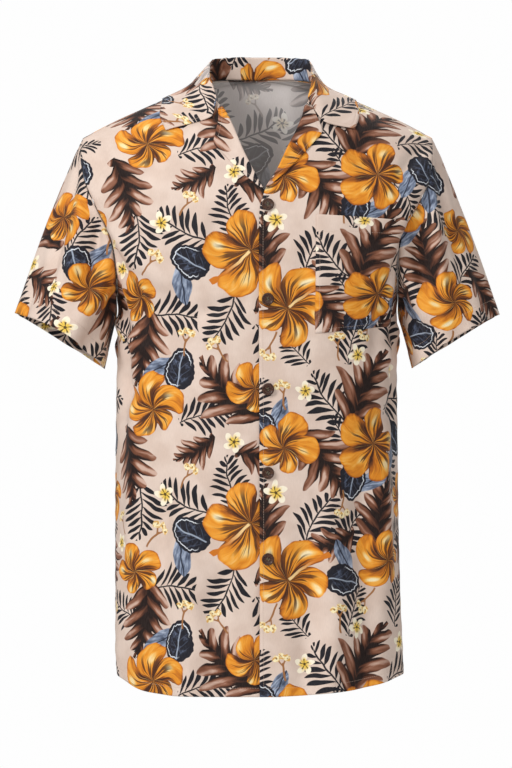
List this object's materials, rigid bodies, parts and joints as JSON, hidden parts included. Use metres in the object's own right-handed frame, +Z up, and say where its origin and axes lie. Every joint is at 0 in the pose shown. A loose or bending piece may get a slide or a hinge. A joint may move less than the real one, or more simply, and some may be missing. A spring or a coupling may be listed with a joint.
{
  "type": "hawaiian shirt",
  "caption": "Short-sleeved camp-collar shirt in a tropical floral print, buttoned down the front, with an open V neck and a chest pocket; hollow, as if worn.",
  "frame": {"origin": "middle of the neck at the height of the shoulder points, where the wearer's shoulders hold the shirt up", "axes": "+Z up along the body, the front faces -Y, +X is towards the wearer's left"},
  "size_m": [0.593, 0.2483, 0.7946],
  "materials": {
    "printed_cloth": "smooth light plain weave with a soft sheen, printed all over with amber hibiscus, brown split leaves, navy leaves and black fronds on a pale pinkish beige ground",
    "brown_button": "dark brown mottled resin, satin polished"
  },
  "bodies": {
    "root": {"front_left": "printed_cloth", "front_right": "printed_cloth", "back": "printed_cloth", "sleeve_left": "printed_cloth", "sleeve_right": "printed_cloth", "collar": "printed_cloth", "lapel_left": "printed_cloth", "lapel_right": "printed_cloth", "chest_pocket": "printed_cloth", "button_1": "brown_button", "button_2": "brown_button", "button_3": "brown_button", "button_4": "brown_button", "button_5": "brown_button"}
  },
  "joints": []
}
